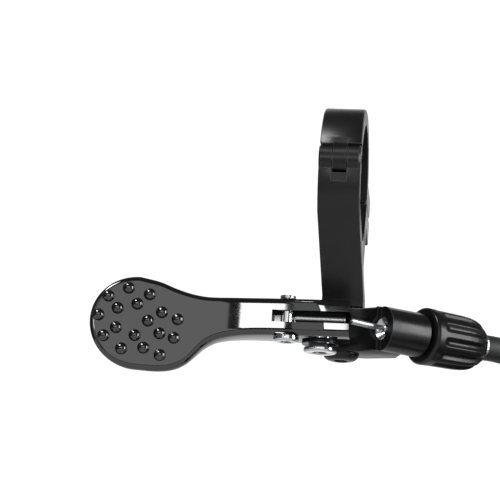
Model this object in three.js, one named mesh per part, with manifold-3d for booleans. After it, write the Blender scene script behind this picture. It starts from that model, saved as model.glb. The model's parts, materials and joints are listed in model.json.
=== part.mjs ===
// Thumb lever remote for a cable-operated part, hung under a 22.2 mm handlebar.
// Millimetres. X runs along the handlebar towards the stem, Y away from the rider, Z up.
// The origin is the middle of the clamp's handlebar bore.
import * as THREE from "three";
import { mergeVertices } from "three/addons/utils/BufferGeometryUtils.js";
import Module from "manifold-3d";

const wasm = await Module();
wasm.setup();
const DEG = Math.PI / 180;

// ---- driving dimensions ----
const BAR_R = 11.1; // handlebar, 22.2 mm across
const RING_R = 14.1; // outside of the clamp ring
const CLAMP_W = 7.8; // width of the clamp along the bar
const EDGE = 0.5; // chamfer round the clamp's side faces
const SPLIT = 6 * DEG; // tilt of the split line between clamp body and cap
const SPLIT_GAP = 0.35; // from the split line to either half
const HINGE_D = 12.4; // hinge pin from the bore's centre
const KNUCKLE_R = 2.7;
const TONGUE_W = 2.6; // middle knuckle, on the cap
const PIN_R = 0.92;
const PIN_HOLE = 1.0;
const BOLT_D = 17.6; // clamp bolt from the bore's centre
const EAR_D = 22.2; // end of the two bolt ears from the bore's centre
const EAR_BEVEL = 0.6;
const M4 = 2.0; // shank radius of the clamp bolt and the mounting screw
const M4_HOLE = 2.1;
const BOLT_SWING_HOLE = 2.4; // lower ear, wide enough for the bolt to swing out with the cap
const FOOT_Y = [-0.8, 6.8];
const FOOT_Z = -24.2; // underside of the foot, on the base block
const LEG_LEAN = 0.95; // the foot sits this far inboard of the ring
const LEAN_FROM = -9; // height at which the leg starts to lean
const LEAN_TO = -22; // and at which it has leant all of it
const MID_Z = -28.6; // plane of the lever, the wire and the adjuster
const BLOCK_H = 4.2; // half height of the base block
const PIVOT = [-2.45, -4.5]; // lever pivot axis, parallel to Z
const SCREW = [1.0, 2.4]; // mounting screw axis, parallel to Z
const NECK = 58.5 * DEG; // direction of the base's tongue in the XY plane
const TONGUE_H = 1.8; // half height of the tongue that carries the bearings
const TONGUE_R = 3.5;
const BEARING_SEAT = 3.05;
const PIVOT_R = 1.5; // M3 shank
const LEVER_FRONT = -12;
const LEVER_H = 3.4; // half height of the lever at its hub
const LEVER_END = 3.2; // inboard end of the lever
const EDGE_R = 1.1; // rounding of the lever's long edges
const BOW_FROM = -16; // outboard of this the front bows towards the rider
const BOW = 0.0058; // by this much for each squared millimetre
const PADDLE = { x: -35.6, z: -31.4, r: 8.7 };
const DISH_R = 34; // hollow for the thumb
const DISH_DEPTH = 0.6;
const STUD_R = 1.15;
const STUDS = [-1.3, 0.5]; // centre of the stud pattern from the paddle's centre
const SLOT_H = 1.1; // half height of the wire slot
const SLOT_FLOOR = -8.7;
const SLOT_END = -11.15;
const WIRE_R = 0.6;
const WIRE_Y = -9.4;
const ANCHOR = [-8.45, -9.9]; // pinch screw axis
const CORNER = [3.0, WIRE_Y]; // where the wire leaves the slot
const MOUTH = [8.8, -2.9]; // wire mouth of the base block
const MOUTH_FACE = -58 * DEG; // direction of the mouth's slanted face
const ADJ = 39.3 * DEG; // direction of the barrel adjuster in the XY plane
const TUBE_R = 4.2;
const TUBE_END = 8.8; // along the adjuster axis from the mouth
const KNOB = [9.15, 22.9]; // knob's two ends along the adjuster axis
const KNOB_R = 5.45;
const FLUTES = 12;
const THREAD_PITCH = 0.8;
const HOUSING_R = 2.5;
const COIL_C = [43, 13.5, -71]; // centre of the housing coil, its axis along X
const COIL_R = 25;
const COIL_HALF = 7.25; // half the section of the bundle
const TURN_PITCH = 4.75; // from turn to turn in the bundle
const TAIL = [COIL_C[0], COIL_C[1] + COIL_R + TURN_PITCH]; // the housing's far end hangs here
const TAIL_Z = [-88.6, -104];
const REST = 0.05; // gap under a head or nut

// ---- helpers ----
// A closed geometry as a manifold solid.
function solid(geometry, matrix) {
  const bare = new THREE.BufferGeometry();
  const flat = geometry.index ? geometry.toNonIndexed() : geometry;
  bare.setAttribute("position", flat.getAttribute("position").clone());
  if (matrix) bare.applyMatrix4(matrix);
  const m = mergeVertices(bare, 1e-4);
  const vertProperties = new Float32Array(m.attributes.position.array);
  const triVerts = new Uint32Array(m.index.array);
  return new wasm.Manifold(new wasm.Mesh({ numProp: 3, vertProperties, triVerts }));
}
const cut = (body, ...tools) => tools.reduce((s, t) => s.subtract(t), body);
const join = (body, ...more) => more.reduce((s, t) => s.add(t), body);

// A polygon extruded along +Z between two heights, its rims chamfered by edge.
function slab(points, z0, z1, edge = 0, matrix = undefined) {
  const shape = new THREE.Shape(points.map(([x, y]) => new THREE.Vector2(x, y)));
  const geometry = new THREE.ExtrudeGeometry(shape, {
    depth: z1 - z0 - 2 * edge,
    bevelEnabled: edge > 0,
    bevelThickness: edge,
    bevelSize: edge,
    bevelOffset: -edge,
    bevelSegments: 1,
  });
  return solid(geometry.translate(0, 0, z0 + edge), matrix);
}
// A polygon of [y, z] points extruded along X, centred on x = 0.
const YZ_TO_WORLD = new THREE.Matrix4().set(0, 0, 1, 0, 1, 0, 0, 0, 0, 1, 0, 0, 0, 0, 0, 1);
const slabX = (points, width, edge = 0) => slab(points, -width / 2, width / 2, edge, YZ_TO_WORLD);
function box([x0, x1], [y0, y1], [z0, z1], matrix) {
  const geometry = new THREE.BoxGeometry(x1 - x0, y1 - y0, z1 - z0);
  return solid(geometry.translate((x0 + x1) / 2, (y0 + y1) / 2, (z0 + z1) / 2), matrix);
}
// A turned piece: [radius, height] pairs about +Z.
function turned(profile, matrix, segments = 32) {
  const points = profile.map(([r, h]) => new THREE.Vector2(r, h));
  return solid(new THREE.LatheGeometry(points, segments).rotateX(Math.PI / 2), matrix);
}
const rod = (r, h0, h1, matrix, segments = 32) =>
  turned([[0, h0], [r, h0], [r, h1], [0, h1]], matrix, segments);
const ring = (r0, r1, h0, h1, segments = 32) =>
  turned([[r0, h0], [r1, h0], [r1, h1], [r0, h1], [r0, h0]], undefined, segments);
// Hexagonal socket or bar by its width across flats.
const hex = (across, h0, h1) => rod(across / 2 / Math.cos(30 * DEG), h0, h1, undefined, 6);
const turnedAt = ([x, y], angle) => new THREE.Matrix4().makeRotationZ(angle).setPosition(x, y, MID_Z);
// Point d to the rear along the clamp's split line and n up from it, as [y, z].
const split = (d, n) => [
  d * Math.cos(SPLIT) + n * Math.sin(SPLIT),
  -d * Math.sin(SPLIT) + n * Math.cos(SPLIT),
];
const arc = (r, a0, a1, steps, place = (y, z) => [y, z]) =>
  Array.from({ length: steps + 1 }, (_, i) => {
    const a = a0 + ((a1 - a0) * i) / steps;
    return place(r * Math.cos(a), r * Math.sin(a));
  });

// ---- scene graph ----
// A group at a point of its parent, its +Z in the given direction.
function seat(parent, [x, y, z], direction = [0, 0, 1]) {
  const group = new THREE.Group();
  group.position.set(x, y, z);
  group.quaternion.setFromUnitVectors(
    new THREE.Vector3(0, 0, 1),
    new THREE.Vector3(...direction).normalize(),
  );
  parent.add(group);
  group.updateWorldMatrix(true, false);
  return group;
}
const part = new THREE.Group();
part.name = "thumb_shifter";
const clamp = seat(part, [0, 0, 0]);
const barAxis = seat(clamp, [0, 0, 0], [1, 0, 0]);
const hinge = seat(clamp, [0, ...split(-HINGE_D, 0)], [1, 0, 0]);
const boltAxis = seat(clamp, [0, ...split(BOLT_D, 0)], [0, ...split(0, 1)]);
const screwAxis = seat(clamp, [...SCREW, MID_Z]);
const lever = seat(part, [...PIVOT, MID_Z]);
const anchor = seat(lever, [ANCHOR[0] - PIVOT[0], ANCHOR[1] - PIVOT[1], 0]);
const adjuster = seat(part, [...MOUTH, MID_Z], [Math.cos(ADJ), Math.sin(ADJ), 0]);
const coil = seat(part, COIL_C, [1, 0, 0]);
const tail = seat(part, [...TAIL, TAIL_Z[1]], [0, 0, -1]);

const finish = (color, metalness, roughness) =>
  new THREE.MeshStandardMaterial({ color, metalness, roughness });
const anodised = finish(0x1c1d1f, 0.6, 0.5);
const gloss = finish(0x101113, 0.7, 0.12);
const steel = finish(0xb9bcc0, 1, 0.25);
const blackSteel = finish(0x17181a, 0.8, 0.35);
const ground = finish(0x8d9196, 1, 0.3);
const plastic = finish(0x232427, 0, 0.7);

// One named mesh in its group.
function add(group, name, body, material) {
  const m = body.getMesh();
  const xyz = new Float32Array(m.numVert * 3);
  for (let i = 0; i < m.numVert; i++)
    xyz.set(m.vertProperties.subarray(i * m.numProp, i * m.numProp + 3), i * 3);
  const geometry = new THREE.BufferGeometry();
  geometry.setAttribute("position", new THREE.BufferAttribute(xyz, 3));
  geometry.setIndex(new THREE.BufferAttribute(new Uint32Array(m.triVerts), 1));
  geometry.computeVertexNormals();
  const mesh = new THREE.Mesh(geometry, material);
  mesh.name = name;
  group.add(mesh);
  return mesh;
}

// ---- handlebar clamp: body with leg and foot ----
const bore = rod(BAR_R, -6, 6, barAxis.matrixWorld, 72);
const pinHole = rod(PIN_HOLE, -5, 5, hinge.matrixWorld, 24);
{
  // The leg's front leaves the ring on a tangent and runs to the top of the foot.
  const toe = [FOOT_Y[0], -22.2];
  const tangent = Math.atan2(toe[1], toe[0]) - Math.acos(RING_R / Math.hypot(...toe));
  const outline = [
    ...arc(RING_R, Math.PI - SPLIT + 0.02, Math.PI * 2 + tangent, 14),
    toe,
    [FOOT_Y[0], FOOT_Z],
    [FOOT_Y[1], FOOT_Z],
    [FOOT_Y[1], -21.6],
    [4.6, -19.4],
    [3.4, -17.6],
    [4.4, -15.2],
    ...arc(RING_R, -0.82, -0.375, 7),
    split(EAR_D - EAR_BEVEL, -5.2),
    split(EAR_D, -4.6),
    split(EAR_D, -SPLIT_GAP - EAR_BEVEL),
    split(EAR_D - EAR_BEVEL, -SPLIT_GAP),
  ];
  const half = CLAMP_W / 2;
  const knuckles = turned(
    [[0, -half], [KNUCKLE_R - 0.4, -half], [KNUCKLE_R, 0.4 - half], [KNUCKLE_R, half - 0.4],
      [KNUCKLE_R - 0.4, half], [0, half]],
    hinge.matrixWorld, 36);
  // gap for the cap's tongue, square outside and round at the pin
  const gap = TONGUE_W / 2 + 0.15;
  const [hingeY, hingeZ] = split(-HINGE_D, 0);
  const square = box([-gap, gap], [hingeY - 3.4, hingeY + 2.8], [hingeZ - 4.5, hingeZ + 1.7]);
  let body = join(slabX(outline, CLAMP_W, EDGE), knuckles);
  body = cut(body, bore, square, pinHole,
    rod(KNUCKLE_R + 0.45, -gap, gap, hinge.matrixWorld, 36),
    rod(BOLT_SWING_HOLE, -8, 1, boltAxis.matrixWorld, 28));
  // the leg leans inboard on its way down
  body = body.warp((v) => {
    v[0] += LEG_LEAN * Math.min(1, Math.max(0, (LEAN_FROM - v[2]) / (LEAN_FROM - LEAN_TO)));
  });
  body = cut(body, rod(M4_HOLE, 2.6, 8.9, screwAxis.matrixWorld, 28));
  add(clamp, "clamp_body", body, anodised);
}

// ---- clamp cap, hinged on the rider's side ----
{
  const outline = [
    split(EAR_D - EAR_BEVEL, SPLIT_GAP),
    split(EAR_D, SPLIT_GAP + EAR_BEVEL),
    split(EAR_D, 4.0),
    split(EAR_D - EAR_BEVEL, 4.6),
    ...arc(RING_R, 0.335, Math.PI - 0.06, 24, split),
    split(-12.6, SPLIT_GAP),
  ];
  const web = [
    split(-14.6, 0), split(-14.2, 2.6), split(-12.9, 5.2), split(-9.6, 6.2), split(-9.7, 0),
  ];
  let cap = cut(slabX(outline, CLAMP_W, EDGE),
    rod(KNUCKLE_R + 0.4, -6, 6, hinge.matrixWorld, 36));
  cap = join(cap, slabX(web, TONGUE_W),
    rod(KNUCKLE_R, -TONGUE_W / 2, TONGUE_W / 2, hinge.matrixWorld, 36));
  cap = cut(cap, bore, pinHole, rod(M4_HOLE, -1, 8, boltAxis.matrixWorld, 28));
  add(clamp, "clamp_cap", cap, anodised);
}
add(hinge, "hinge_pin", rod(PIN_R, -3.7, 3.7, undefined, 24), steel);

// ---- clamp bolt and washer, on the far side of the bar ----
add(boltAxis, "clamp_bolt_washer", ring(M4_HOLE, 3.6, 4.65, 5.15), steel);
{
  const head = 5.2;
  const shaft = turned([[0, -4.9], [M4 - 0.3, -4.9], [M4, -4.6], [M4, head], [3.5, head],
    [3.5, head + 3.1], [3.1, head + 3.5], [0, head + 3.5]]);
  add(boltAxis, "clamp_bolt", cut(shaft, hex(3, head + 1.4, head + 4)), blackSteel);
}

// ---- base block: seat for the foot, bearing tongue and adjuster tube ----
{
  const plan = [
    [-1.6, FOOT_Y[0]], [4.4, FOOT_Y[0]], MOUTH, [12.6, 0.4], [11.3, 5.0], [5.6, FOOT_Y[1]],
    [-1.9, FOOT_Y[1]], [-2.6, 6.1], [-2.6, 0.9],
  ];
  const tube = turned(
    [[0, -0.9], [TUBE_R, -0.9], [TUBE_R, TUBE_END - 0.5], [TUBE_R - 0.5, TUBE_END], [0, TUBE_END]],
    adjuster.matrixWorld, 40);
  const neck = box([0, 8], [-2.5, 2.5], [-TONGUE_H, TONGUE_H], turnedAt(PIVOT, NECK));
  const eye = rod(TONGUE_R, -TONGUE_H, TONGUE_H, lever.matrixWorld);
  let block = join(slab(plan, MID_Z - BLOCK_H, MID_Z + BLOCK_H, 0.3), tube, neck, eye);
  // slanted face in front of the tube, then the bores
  const trim = box([-0.3, 9], [-6, 0], [-6, 6], turnedAt(MOUTH, MOUTH_FACE));
  const mouth = turned([[0, -1.2], [2.25, -1.2], [2.1, 0.1], [1.0, 1.25], [1.0, 2.6], [2.6, 2.6],
    [2.6, 10], [0, 10]], adjuster.matrixWorld);
  block = cut(block, trim, mouth,
    rod(BEARING_SEAT, -2, 2, lever.matrixWorld),
    rod(M4_HOLE, -6.4, 6.6, screwAxis.matrixWorld, 28));
  add(clamp, "base_block", block, anodised);
}
{
  const under = -BLOCK_H - REST;
  const button = turned([[0, under - 1.35], [1.9, under - 1.35], [2.7, under - 1.1],
    [3.25, under - 0.6], [3.45, under], [M4, under], [M4, 8.4], [M4 - 0.4, 8.8], [0, 8.8]]);
  add(screwAxis, "mount_screw", cut(button, hex(2.5, under - 2, under - 0.35)), blackSteel);
}

// ---- pivot: bearings in the tongue, shims, bolt with flange, nut ----
add(clamp, "bearing_lower", ring(1.58, 2.98, -1.78, -REST), ground).position.copy(lever.position);
add(clamp, "bearing_upper", ring(1.58, 2.98, REST, 1.78), ground).position.copy(lever.position);
add(lever, "shim_lower", ring(1.62, 2.4, -2.07, -1.84), steel);
add(lever, "shim_upper", ring(1.62, 2.4, 1.84, 2.07), steel);
add(lever, "thrust_washer", ring(1.62, 3.5, -LEVER_H - 0.5, -LEVER_H - REST), blackSteel);
{
  const under = -LEVER_H - 0.55;
  const flange = turned([[0, under - 1.45], [2.9, under - 1.45], [3.15, under - 1.25],
    [3.15, under - 0.65], [2.25, under - 0.65], [2.25, under], [PIVOT_R, under], [PIVOT_R, 3.7],
    [0, 3.7]]);
  add(lever, "pivot_bolt", cut(flange, hex(2.5, under - 2.4, under - 0.45)), steel);
}
{
  const under = LEVER_H + REST;
  const nut = turned([[1.55, under], [2.6, under], [2.6, under + 0.5], [2.3, under + 0.75],
    [1.55, under + 0.75], [1.55, under]]);
  add(lever, "pivot_nut", nut, blackSteel);
}

// ---- thumb lever: one loft from the hub to the paddle ----
// Smooth curve through [x, value] knots sorted by falling x.
function through(knots, x) {
  const last = knots.length - 2;
  const found = knots.findIndex(([k], j) => j <= last && x <= k && x >= knots[j + 1][0]);
  const i = found >= 0 ? found : x > knots[0][0] ? 0 : last;
  const [x1, y1] = knots[i];
  const [x2, y2] = knots[i + 1];
  const slope = (a, b) => (a && b ? (b[1] - a[1]) / (b[0] - a[0]) : (y2 - y1) / (x2 - x1));
  const m1 = slope(knots[i - 1], knots[i + 1]);
  const m2 = slope(knots[i], knots[i + 2]);
  const h = x2 - x1;
  const t = (x - x1) / h;
  return (
    (2 * t ** 3 - 3 * t ** 2 + 1) * y1 + (t ** 3 - 2 * t ** 2 + t) * h * m1 +
    (3 * t ** 2 - 2 * t ** 3) * y2 + (t ** 3 - t ** 2) * h * m2
  );
}
const TOP = [[LEVER_END, MID_Z + LEVER_H], [-10, MID_Z + LEVER_H], [-18, -25.4], [-23, -25.55],
  [-26, -25.2], [-29, -24.4], [-32, -23.35], [PADDLE.x, PADDLE.z + PADDLE.r]];
const BOTTOM = [[LEVER_END, MID_Z - LEVER_H], [-12, -32.1], [-17.5, -32.5], [-21.2, -33.4],
  [-23.5, -34.9], [-25, -36.6], [-26.6, -38.3], [-28.6, -39.5], [-31.5, -40.1],
  [PADDLE.x, PADDLE.z - PADDLE.r]];
const REAR = [[LEVER_END, -3.6], [1.6, -2.2], [-1, -1.3], [-3.6, -1.35], [-6, -1.75], [-9, -2.2],
  [-14, -3.3], [-19, -5], [-23, -7.2], [-27, -9.5], [-31, -10.6], [-36, -11.7], [-44.4, -13.9]];
const leverFront = (x) => LEVER_FRONT - BOW * Math.max(0, BOW_FROM - x) ** 2;

// The lever's section at x as [y, z] points: a rectangle with rounded corners, drawn in by inset.
function leverSection(x, inset) {
  const half = Math.sqrt(Math.max(0, PADDLE.r ** 2 - (x - PADDLE.x) ** 2));
  const inNeck = x > PADDLE.x;
  const top = (inNeck ? through(TOP, x) : PADDLE.z + half) - inset;
  const bottom = (inNeck ? through(BOTTOM, x) : PADDLE.z - half) + inset;
  const front = leverFront(x) + inset;
  const rear = through(REAR, x) - inset;
  const r = Math.min(EDGE_R, (top - bottom) * 0.45, (rear - front) * 0.42);
  const corner = (y, z, a0) => arc(r, a0, a0 + Math.PI / 2, 5, (dy, dz) => [y + dy, z + dz]);
  return [
    ...corner(rear - r, top - r, 0),
    ...corner(front + r, top - r, Math.PI / 2),
    ...corner(front + r, bottom + r, Math.PI),
    ...corner(rear - r, bottom + r, Math.PI * 1.5),
  ];
}
// Skins [x, inset] stations of the lever, from its inboard end to the paddle's tip.
function loft(stations) {
  const rings = stations.map(([x, inset]) => leverSection(x, inset).map(([y, z]) => [x, y, z]));
  const n = rings[0].length;
  const index = [];
  for (let s = 0; s < rings.length - 1; s++)
    for (let i = 0; i < n; i++) {
      const a = s * n + i;
      const b = s * n + ((i + 1) % n);
      index.push(a, a + n, b, b, a + n, b + n);
    }
  const tip = (rings.length - 1) * n;
  for (let i = 1; i < n - 1; i++) {
    index.push(0, i, i + 1);
    index.push(tip, tip + i + 1, tip + i);
  }
  const geometry = new THREE.BufferGeometry();
  geometry.setAttribute("position", new THREE.Float32BufferAttribute(rings.flat(2), 3));
  geometry.setIndex(index);
  return solid(geometry);
}
{
  const stations = [[LEVER_END, 0.5], [LEVER_END - 0.15, 0.15], [LEVER_END - 0.5, 0]];
  for (let x = 1.8; x > -17; x -= 1.7) stations.push([x, 0]);
  for (let x = -18; x > PADDLE.x; x -= 0.95) stations.push([x, 0]);
  for (let a = 90; a <= 174; a += 7) stations.push([PADDLE.x + PADDLE.r * Math.cos(a * DEG), 0]);
  stations.push([PADDLE.x - PADDLE.r + 0.012, 0]);

  // the dish's sphere stands off along the normal of the paddle's bowed front
  const slope = 2 * BOW * (BOW_FROM - PADDLE.x);
  const stand = (DISH_R - DISH_DEPTH) / Math.hypot(slope, 1);
  const dish = [PADDLE.x + slope * stand, leverFront(PADDLE.x) - stand, PADDLE.z];
  const dishFloor = (x, z) =>
    dish[1] + Math.sqrt(DISH_R ** 2 - (x - dish[0]) ** 2 - (z - dish[2]) ** 2);
  let blade = cut(loft(stations),
    solid(new THREE.SphereGeometry(DISH_R, 96, 64).translate(...dish)));
  const stud = (r, angle) => {
    const x = PADDLE.x + STUDS[0] + r * Math.cos(angle * DEG);
    const z = PADDLE.z + STUDS[1] + r * Math.sin(angle * DEG);
    const y = Math.max(dishFloor(x, z), leverFront(x)) + 0.15;
    return solid(new THREE.SphereGeometry(STUD_R, 16, 10).translate(x, y, z));
  };
  for (let k = 0; k < 5; k++) blade = join(blade, stud(3.1, -1 + 72 * k));
  for (let k = 0; k < 9; k++) blade = join(blade, stud(5.8, 17 + 40 * k));
  for (const angle of [4, -20, -48]) blade = join(blade, stud(8.5, angle));

  // pocket for the base's tongue, open to the rear over the whole swing
  const room = TONGUE_H + 0.3;
  const pocket = slab([[-3.0, -0.9], [2.6, -1.5], [6.8, 5.3], [6.8, 8], [-5.6, 8], [-5.5, 6.7]],
    -room, room, 0, lever.matrixWorld);
  const slotZ = [MID_Z - SLOT_H, MID_Z + SLOT_H];
  blade = cut(blade, pocket,
    rod(TONGUE_R + 0.3, -room, room, lever.matrixWorld),
    rod(1.6, -12, 9, lever.matrixWorld),
    box([SLOT_END, 6], [-14, SLOT_FLOOR], slotZ),
    box([2.15, 6], [-9, 2], slotZ),
    rod(1.0, -12, 9, anchor.matrixWorld, 24));
  const mesh = add(lever, "thumb_lever", blade, gloss);
  mesh.position.copy(lever.position).negate();
}

// ---- wire clamp in the lever ----
{
  const under = -LEVER_H - 0.15;
  const pinch = turned([[0, under - 1.05], [2.0, under - 1.05], [2.35, under - 0.75],
    [2.35, under], [0.9, under], [0.9, 4.15], [0, 4.15]], undefined, 24);
  add(anchor, "pinch_screw", cut(pinch, hex(2, under - 2, under - 0.35)), steel);
}
add(anchor, "pinch_nut", ring(1.0, 1.45, LEVER_H + 0.1, LEVER_H + 0.6, 24), steel);
add(anchor, "pinch_sleeve", ring(1.0, 1.18, -1.0, 1.0, 24), steel);

// ---- inner wire: in the slot, across to the mouth, and down the adjuster ----
const slotWire = seat(lever, [-7 - PIVOT[0], WIRE_Y - PIVOT[1], 0], [1, 0, 0]);
add(slotWire, "wire_in_slot", rod(WIRE_R, 0, 9.3, undefined, 12), steel);
{
  const way = [MOUTH[0] - CORNER[0], MOUTH[1] - CORNER[1], 0];
  const span = seat(lever, [CORNER[0] - PIVOT[0], CORNER[1] - PIVOT[1], 0], way);
  add(span, "wire_span", rod(WIRE_R, 0.45, Math.hypot(...way) - REST, undefined, 12), steel);
}
add(adjuster, "wire_core", rod(WIRE_R, 0.45, 13.0, undefined, 12), steel);

// ---- barrel adjuster ----
{
  const thread = [[1.0, 2.9], [2.1, 2.9]];
  for (let h = 3.1; h < TUBE_END; h += THREAD_PITCH)
    thread.push([2.5, h + 0.15], [2.5, h + 0.4], [2.15, h + 0.7]);
  const barrel = [...thread, [2.3, 9.6], [3.4, 9.6], [3.4, 13.0], [1.0, 13.0], [1.0, 2.9]];
  add(adjuster, "adjuster_barrel", turned(barrel, undefined, 28), blackSteel);
}
{
  let knob = turned([[3.5, KNOB[0]], [4.9, KNOB[0]], [KNOB_R, KNOB[0] + 0.5], [5.3, 18.6],
    [4.9, 20.4], [3.9, 22.0], [3.25, KNOB[1]], [2.95, KNOB[1]], [2.95, 13.2], [3.5, 13.2],
    [3.5, KNOB[0]]], undefined, 48);
  const flute = new THREE.CylinderGeometry(1.0, 1.0, 12, 14).rotateX(Math.PI / 2);
  flute.translate(KNOB_R + 0.42, 0, 18.4);
  for (let k = 0; k < FLUTES; k++) {
    const turn = new THREE.Matrix4().makeRotationZ(((k + 0.5) * 2 * Math.PI) / FLUTES);
    knob = cut(knob, solid(flute, turn));
  }
  add(adjuster, "adjuster_knob", knob, anodised);
}
add(adjuster, "housing_ferrule", turned([[0.9, 13.4], [2.85, 13.4], [2.85, 23.0], [3.1, 23.0],
  [3.1, 23.35], [2.6, 23.35], [2.6, 14.3], [0.9, 14.3], [0.9, 13.4]]), steel);

// ---- outer cable housing, coiled where it hangs ----
function tube(points, r, steps, sides = 12) {
  const curve = new THREE.CatmullRomCurve3(points, false, "centripetal");
  const section = new THREE.Shape(
    Array.from({ length: sides }, (_, i) => {
      const a = (i * 2 * Math.PI) / sides;
      return new THREE.Vector2(r * Math.cos(a), r * Math.sin(a));
    }),
  );
  const options = { extrudePath: curve, steps, bevelEnabled: false };
  return solid(new THREE.ExtrudeGeometry(section, options));
}
{
  const onAxis = (s) =>
    new THREE.Vector3(MOUTH[0] + s * Math.cos(ADJ), MOUTH[1] + s * Math.sin(ADJ), MID_Z);
  const route = [
    onAxis(14.5), onAxis(19), onAxis(24), onAxis(28),
    new THREE.Vector3(35.4, 19.4, -29.4),
    new THREE.Vector3(39.8, 24.6, -32.6),
    new THREE.Vector3(42.6, 30.8, -38.4),
    new THREE.Vector3(43, 34.4, -42.6),
  ];
  add(part, "cable_housing", tube(route, HOUSING_R, 26), plastic);
}
{
  // the bundle's section is a square with rounded corners, closed on itself
  const round = 2.2;
  const flat = COIL_HALF - round;
  const section = [];
  for (const [sx, sy] of [[1, 1], [-1, 1], [-1, -1], [1, -1]]) {
    const from = Math.atan2(sy, sx) - Math.PI / 4;
    section.push(...arc(round, from, from + Math.PI / 2, 3,
      (dr, dh) => [COIL_R + sx * flat + dr, sy * flat + dh]));
  }
  section.push(section[0]);
  add(coil, "housing_coil", turned(section, undefined, 56), plastic);
}
for (const [name, angle] of [["coil_tie_front", 150], ["coil_tie_rear", -70]]) {
  const inner = COIL_HALF + 0.3;
  const outer = COIL_HALF + 1.1;
  const round = seat(coil, [0, 0, 0]);
  round.rotation.z = (angle + 90) * DEG;
  const band = cut(box([-outer, outer], [-2, 2], [-outer, outer]),
    box([-inner, inner], [-9, 9], [-inner, inner]));
  add(round, name, band, plastic).position.x = COIL_R;
}
add(part, "housing_tail", tube(
  TAIL_Z.map((z) => new THREE.Vector3(...TAIL, z)), HOUSING_R, 2), plastic);
add(tail, "end_ferrule", turned([[0, 0.3], [2.6, 0.3], [2.85, 0.55], [2.85, 8.4], [1.7, 9.4],
  [0.9, 9.4], [0.9, 5], [0, 5]], undefined, 24), steel);
add(tail, "wire_tail", rod(WIRE_R, 5.2, 26, undefined, 12), steel);
add(tail, "wire_nipple", turned([[0.66, 24.6], [2.2, 24.6], [2.2, 29.2], [0, 29.2], [0, 26.2],
  [0.66, 26.2], [0.66, 24.6]], undefined, 24), steel);

export default part;
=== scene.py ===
# A thumb lever remote on its handlebar clamp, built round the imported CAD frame.
# Metres: +X runs along the handlebar towards the stem, +Y away from the rider, +Z up.
import json
import math

import bmesh
import bpy
from mathutils import Matrix, Vector


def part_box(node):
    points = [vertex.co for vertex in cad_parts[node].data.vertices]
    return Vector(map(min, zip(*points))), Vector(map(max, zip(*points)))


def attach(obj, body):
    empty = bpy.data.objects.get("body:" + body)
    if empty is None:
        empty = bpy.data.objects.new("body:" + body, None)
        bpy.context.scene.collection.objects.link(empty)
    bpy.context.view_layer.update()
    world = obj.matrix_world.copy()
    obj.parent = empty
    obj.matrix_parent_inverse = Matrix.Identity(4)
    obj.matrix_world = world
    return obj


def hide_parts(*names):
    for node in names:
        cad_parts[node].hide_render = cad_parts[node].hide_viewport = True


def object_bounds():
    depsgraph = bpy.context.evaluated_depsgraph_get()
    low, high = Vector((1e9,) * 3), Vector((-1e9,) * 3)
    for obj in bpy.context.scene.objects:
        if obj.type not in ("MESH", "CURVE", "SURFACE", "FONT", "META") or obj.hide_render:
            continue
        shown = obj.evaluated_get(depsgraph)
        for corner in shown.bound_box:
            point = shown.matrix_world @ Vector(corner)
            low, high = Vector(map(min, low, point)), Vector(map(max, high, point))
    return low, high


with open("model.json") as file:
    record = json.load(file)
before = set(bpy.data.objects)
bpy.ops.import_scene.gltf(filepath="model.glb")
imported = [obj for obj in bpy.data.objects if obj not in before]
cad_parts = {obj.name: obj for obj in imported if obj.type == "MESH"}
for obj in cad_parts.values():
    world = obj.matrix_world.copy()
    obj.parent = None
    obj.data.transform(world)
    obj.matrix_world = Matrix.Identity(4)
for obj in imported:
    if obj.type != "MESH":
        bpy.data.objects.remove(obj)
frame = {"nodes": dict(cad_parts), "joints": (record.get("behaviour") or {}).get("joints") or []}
cad_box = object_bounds()
MM = 0.001
joint = {j["name"]: j for j in frame["joints"]}

# ---- camera ----
# A long lens on the rider's side of the bar, just inboard of the remote and a little below it,
# looking up and forwards, and rolled slightly.
AZIMUTH = math.radians(6.5)
ELEVATION = math.radians(-12.5)
ROLL = math.radians(3.55)
back = Vector((math.sin(AZIMUTH) * math.cos(ELEVATION), -math.cos(AZIMUTH) * math.cos(ELEVATION),
               math.sin(ELEVATION)))
level = Vector((math.cos(AZIMUTH), math.sin(AZIMUTH), 0))
upright = back.cross(level)
right = level * math.cos(ROLL) + upright * math.sin(ROLL)
up = upright * math.cos(ROLL) - level * math.sin(ROLL)
CAMERA_AT = Vector((30.16, -416.0, -106.7)) * MM
camera = bpy.data.objects.new("camera", bpy.data.cameras.new("camera"))
camera.data.lens = 161.8
camera.data.sensor_width = 36
camera.data.clip_start = 0.01
camera.matrix_world = Matrix.Translation(CAMERA_AT) @ Matrix(
    (right, up, back)).transposed().to_4x4()
bpy.context.scene.collection.objects.link(camera)
bpy.context.scene.camera = camera


# ---- cable housing ----
# Index-type brake and shift housing: a wound steel liner in a black PVC sheath, 5 mm across. The
# sheath follows the winding, so fine rings show round it. 1.5 m of it leaves the adjuster and hangs
# in a coil of nine turns.
def linear(code):
    """An sRGB hex colour as linear red, green, blue and alpha."""
    channels = [int(code[i:i + 2], 16) / 255 for i in (1, 3, 5)]
    return [c / 12.92 if c <= 0.04045 else ((c + 0.055) / 1.055) ** 2.4 for c in channels] + [1]


def node(tree, kind, links=None, **settings):
    """Adds a node. Settings name its properties or sockets; links map its sockets to outputs."""
    made = tree.nodes.new(kind)
    for key, value in settings.items():
        if hasattr(made, key):
            setattr(made, key, value)
        else:
            made.inputs[key.replace("_", " ")].default_value = value
    for key, output in (links or {}).items():
        tree.links.new(output, made.inputs[key])
    return made


def finish_of(name, color, **shader):
    """A material with one Principled shader, and the shader and tree to add detail to."""
    material = bpy.data.materials.new(name)
    material.use_nodes = True
    tree = material.node_tree
    surface = tree.nodes["Principled BSDF"]
    surface.inputs["Base Color"].default_value = linear(color)
    for key, value in shader.items():
        surface.inputs[key.replace("_", " ")].default_value = value
    return material, tree, surface


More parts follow.
